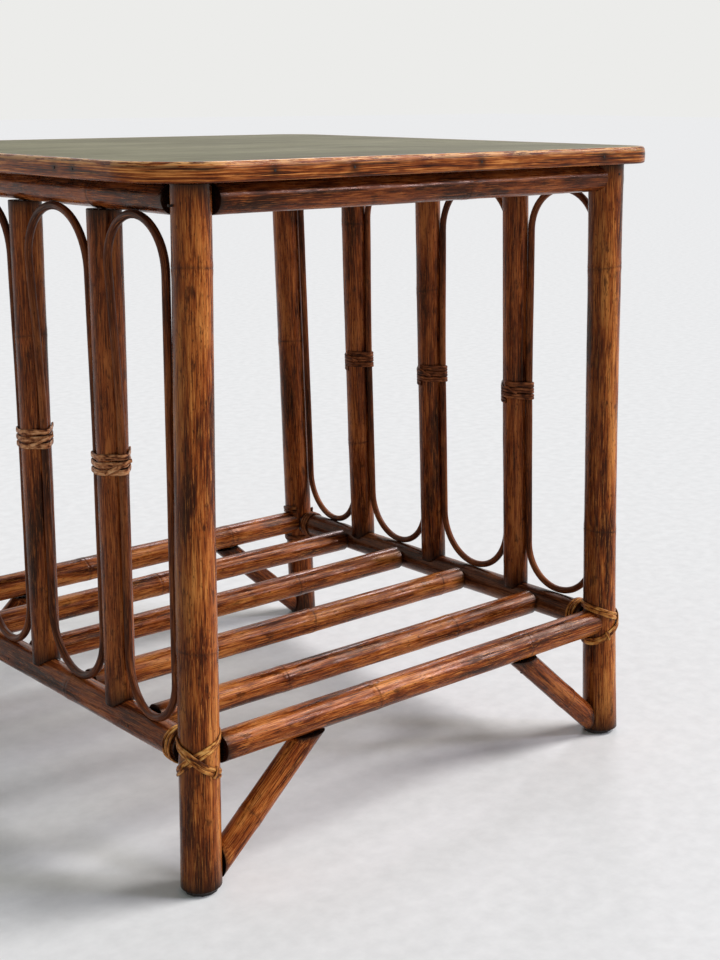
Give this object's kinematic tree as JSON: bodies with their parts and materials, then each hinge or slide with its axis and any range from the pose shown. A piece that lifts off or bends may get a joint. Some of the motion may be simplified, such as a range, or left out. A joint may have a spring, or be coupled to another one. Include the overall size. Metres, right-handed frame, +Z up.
{
  "type": "side table",
  "caption": "Square side table of round rattan poles with a rounded flat top, a slatted lower shelf, cane loops in both side panels and diagonal foot braces.",
  "frame": {"origin": "on the floor under the middle of the table", "axes": "+Z up, +X along the front from the left leg to the right leg, +Y from front to back"},
  "size_m": [0.53, 0.532, 0.566],
  "materials": {
    "rattan_pole": "gloss",
    "rattan_cane": "gloss",
    "cane_strip": "satin",
    "edge_band": "gloss",
    "face_sheet": "gloss",
    "board": "matte",
    "steel": "satin",
    "glide": "matte"
  },
  "bodies": {
    "root": {"brace_back_left": "rattan_pole", "brace_back_right": "rattan_pole", "brace_front_left": "rattan_pole", "brace_front_right": "rattan_pole", "brace_pins": "steel", "cane_loop_left_1": "rattan_cane", "cane_loop_left_2": "rattan_cane", "cane_loop_left_3": "rattan_cane", "cane_loop_left_4": "rattan_cane", "cane_loop_right_1": "rattan_cane", "cane_loop_right_2": "rattan_cane", "cane_loop_right_3": "rattan_cane", "cane_loop_right_4": "rattan_cane", "edge_band_back": "edge_band", "edge_band_front": "edge_band", "edge_pins": "steel", "face_sheet": "face_sheet", "glides": "glide", "leg_back_left": "rattan_pole", "leg_back_right": "rattan_pole", "leg_front_left": "rattan_pole", "leg_front_right": "rattan_pole", "leg_lashing_back_left": "cane_strip", "leg_lashing_back_right": "cane_strip", "leg_lashing_front_left": "cane_strip", "leg_lashing_front_right": "cane_strip", "lower_side_rail_left": "rattan_pole", "lower_side_rail_right": "rattan_pole", "panel_pins": "steel", "post_binding_left_1": "cane_strip", "post_binding_left_2": "cane_strip", "post_binding_left_3": "cane_strip", "post_binding_right_1": "cane_strip", "post_binding_right_2": "cane_strip", "post_binding_right_3": "cane_strip", "post_left_1": "rattan_pole", "post_left_2": "rattan_pole", "post_left_3": "rattan_pole", "post_right_1": "rattan_pole", "post_right_2": "rattan_pole", "post_right_3": "rattan_pole", "rail_wrap_back_left": "cane_strip", "rail_wrap_back_right": "cane_strip", "rail_wrap_front_left": "cane_strip", "rail_wrap_front_right": "cane_strip", "shelf_slat_1": "rattan_pole", "shelf_slat_2": "rattan_pole", "shelf_slat_3": "rattan_pole", "shelf_slat_4": "rattan_pole", "stretcher_back": "rattan_pole", "stretcher_front": "rattan_pole", "top_board": "board", "top_screws": "steel", "upper_rail_back": "rattan_pole", "upper_rail_front": "rattan_pole", "upper_side_rail_left": "rattan_pole", "upper_side_rail_right": "rattan_pole"}
  },
  "joints": []
}
